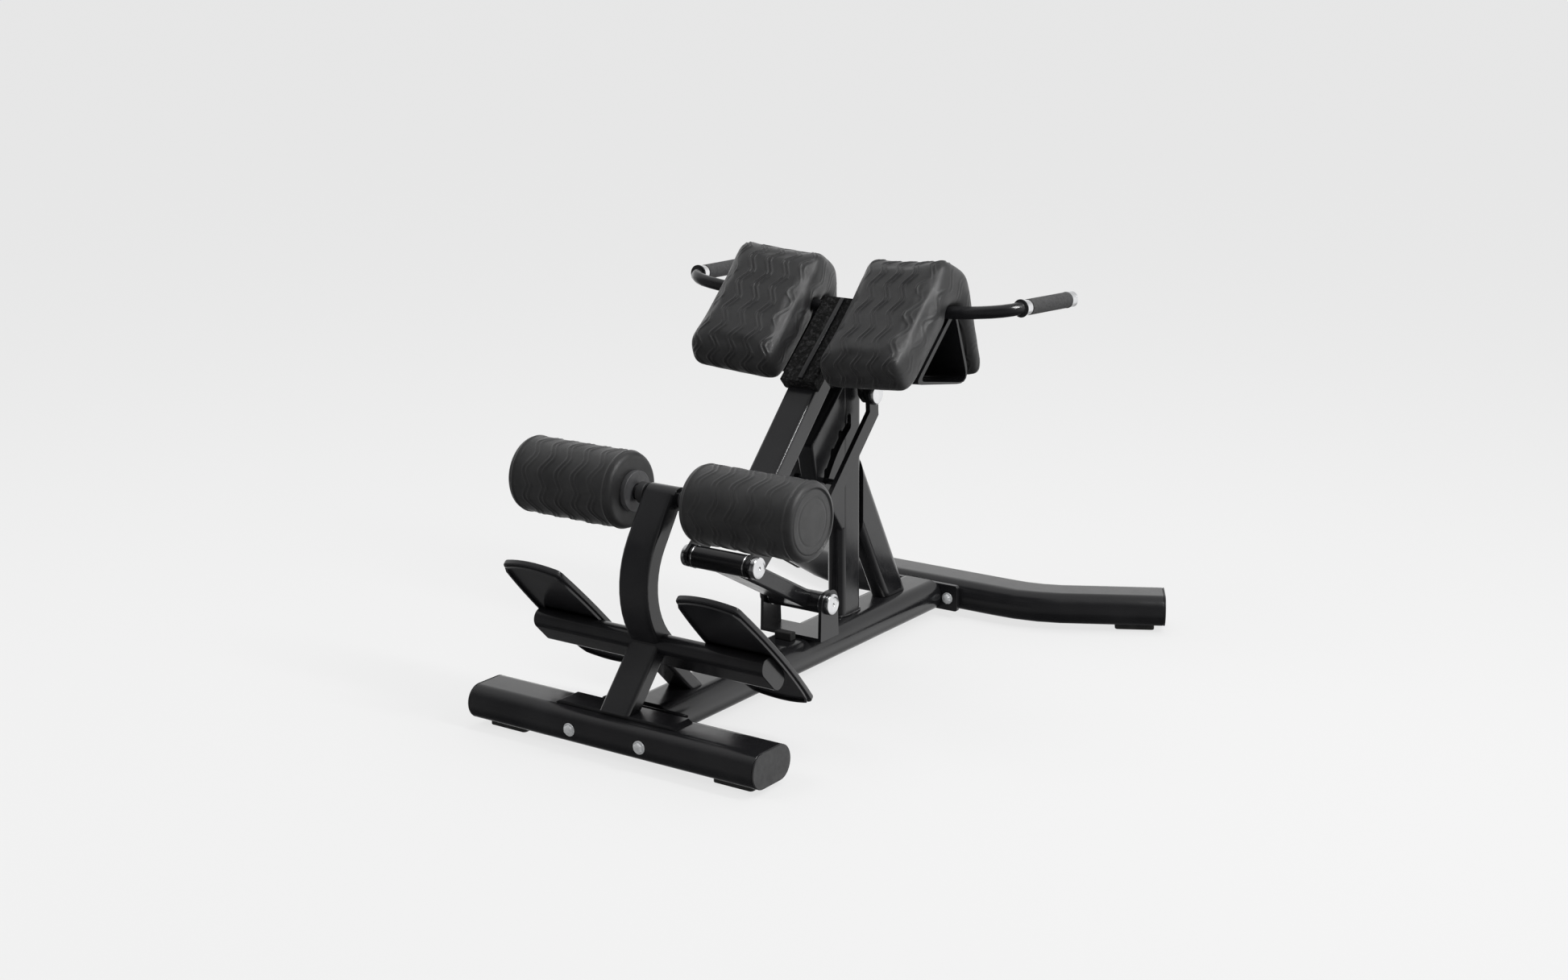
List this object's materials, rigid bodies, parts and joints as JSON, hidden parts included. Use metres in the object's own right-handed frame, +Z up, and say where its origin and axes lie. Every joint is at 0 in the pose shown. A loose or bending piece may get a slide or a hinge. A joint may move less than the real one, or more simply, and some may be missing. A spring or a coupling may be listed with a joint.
{
  "type": "roman chair",
  "caption": "Forty-five degree back-extension bench with split thigh pads, side handles, ankle rollers and foot plates on an H-shaped floor frame.",
  "frame": {"origin": "middle of the floor area that the chair covers, at floor level", "axes": "+X to the user's right when facing the pads from the foot end, +Y from the foot end to the head end, +Z up"},
  "size_m": [0.8984, 1.1708, 0.7253],
  "materials": {
    "frame_paint": "gloss black powder coat",
    "black_plastic": "satin black moulded plastic",
    "rubber": "matte black rubber",
    "chrome": "polished chrome",
    "pad_leather": "black grained artificial leather with embossed lines",
    "grip_foam": "dark grey foam rubber",
    "hub_plastic": "light grey moulded plastic"
  },
  "bodies": {
    "frame": {"front_beam": "frame_paint", "main_beam": "frame_paint", "rear_beam": "frame_paint", "front_flange": "frame_paint", "rear_flange": "frame_paint", "foot_tube": "frame_paint", "foot_plate_left": "frame_paint", "foot_plate_right": "frame_paint", "upright": "frame_paint", "front_brace": "frame_paint", "upright_saddle": "frame_paint", "curved_tube": "frame_paint", "column": "frame_paint", "ladder_box": "frame_paint", "rear_brace": "frame_paint", "pivot_bracket": "frame_paint", "roller_axle": "frame_paint", "front_beam_cap_left": "black_plastic", "front_beam_cap_right": "black_plastic", "rear_beam_cap_left": "black_plastic", "rear_beam_cap_right": "black_plastic", "roller_collar_left": "black_plastic", "roller_collar_right": "black_plastic", "front_foot_left": "rubber", "front_foot_right": "rubber", "rear_foot_left": "rubber", "rear_foot_right": "rubber", "link_stop": "rubber", "front_bolt_left": "chrome", "front_bolt_right": "chrome", "rear_bolt_left": "chrome", "rear_bolt_right": "chrome", "ground_pin": "chrome", "ground_pin_cap_left": "chrome", "ground_pin_cap_right": "chrome"},
    "lower_link": {"lower_link": "frame_paint"},
    "pad_unit": {"pad_post": "frame_paint", "pad_carrier": "frame_paint", "link_pin": "chrome", "strut_pin_left": "chrome", "strut_pin_right": "chrome", "link_pin_cap_left": "chrome", "link_pin_cap_right": "chrome", "pad_bracket_left": "frame_paint", "pad_bracket_right": "frame_paint", "pad_left": "pad_leather", "pad_right": "pad_leather", "handle_tube_left": "frame_paint", "handle_tube_right": "frame_paint", "handle_ring_left": "chrome", "handle_ring_right": "chrome", "handle_grip_left": "grip_foam", "handle_grip_right": "grip_foam", "handle_end_cap_left": "chrome", "handle_end_cap_right": "chrome"},
    "strut": {"strut": "frame_paint"},
    "roller_left": {"roller_left": "pad_leather", "roller_hub_left": "hub_plastic"},
    "roller_right": {"roller_right": "pad_leather", "roller_hub_right": "hub_plastic"}
  },
  "joints": [
    {"name": "height_link", "type": "hinge", "parent": "frame", "child": "lower_link", "pos_m": [0, -0.03533, 0.131], "axis": [-1, 0, 0], "range_deg": [0, 25.3]},
    {"name": "pad_level", "type": "hinge", "parent": "lower_link", "child": "pad_unit", "pos_m": [0, -0.25813, 0.2514], "axis": [-1, 0, 0], "range_deg": [-25.3, 0]},
    {"name": "lock_strut", "type": "hinge", "parent": "pad_unit", "child": "strut", "pos_m": [0, 0.12567, 0.472], "axis": [-1, 0, 0], "range_deg": [0, 1.5]},
    {"name": "roller_spin_left", "type": "hinge", "parent": "frame", "child": "roller_left", "pos_m": [0, -0.40613, 0.3951], "axis": [1, 0, 0], "continuous": true},
    {"name": "roller_spin_right", "type": "hinge", "parent": "frame", "child": "roller_right", "pos_m": [0, -0.40613, 0.3951], "axis": [1, 0, 0], "continuous": true}
  ],
  "couplings": [
    {"joint": "pad_level", "follows": "height_link", "ratio": -1}
  ]
}
